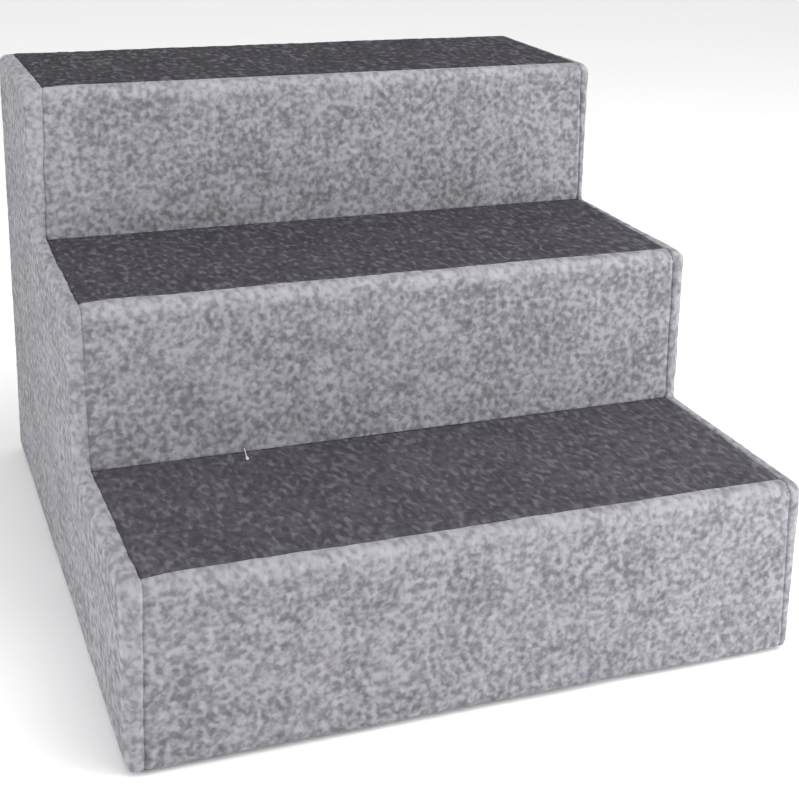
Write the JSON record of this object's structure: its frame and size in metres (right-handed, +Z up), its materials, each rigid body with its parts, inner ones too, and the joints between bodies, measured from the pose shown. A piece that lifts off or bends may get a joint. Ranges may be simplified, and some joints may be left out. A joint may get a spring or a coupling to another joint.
{
  "type": "pet stairs",
  "caption": "Closed, felt-covered pet stairs of thin boards on a batten frame, which let a small dog or cat climb on to a sofa or bed.",
  "frame": {"origin": "on the floor at the middle of the footprint, level with the undersides of the feet", "axes": "+X to the right seen from in front, +Y from the first step towards the back, +Z up"},
  "size_m": [0.4, 0.449, 0.308],
  "materials": {
    "light_felt": "matte",
    "dark_felt": "matte",
    "board": "matte",
    "hardboard": "matte",
    "batten": "matte",
    "screw_steel": "satin",
    "foot_rubber": "matte"
  },
  "bodies": {
    "root": {"left_side_panel": "board", "right_side_panel": "board", "back_board": "board", "riser_board_1": "board", "riser_board_2": "board", "riser_board_3": "board", "tread_board_1": "board", "tread_board_2": "board", "tread_board_3": "board", "base_board": "hardboard", "left_post_1": "batten", "left_post_2": "batten", "left_post_3": "batten", "left_post_4": "batten", "right_post_1": "batten", "right_post_2": "batten", "right_post_3": "batten", "right_post_4": "batten", "left_cleat_1": "batten", "left_cleat_2": "batten", "left_cleat_3": "batten", "right_cleat_1": "batten", "right_cleat_2": "batten", "right_cleat_3": "batten", "front_rail_1": "batten", "front_rail_2": "batten", "front_rail_3": "batten", "left_side_felt": "light_felt", "right_side_felt": "light_felt", "back_felt": "light_felt", "riser_felt_1": "light_felt", "riser_felt_2": "light_felt", "riser_felt_3": "light_felt", "tread_felt_1": "dark_felt", "tread_felt_2": "dark_felt", "tread_felt_3": "dark_felt", "side_screws": "screw_steel", "riser_screws": "screw_steel", "tread_screws": "screw_steel", "back_screws": "screw_steel", "base_screws": "screw_steel", "front_left_foot": "foot_rubber", "front_right_foot": "foot_rubber", "back_left_foot": "foot_rubber", "back_right_foot": "foot_rubber"}
  },
  "joints": []
}
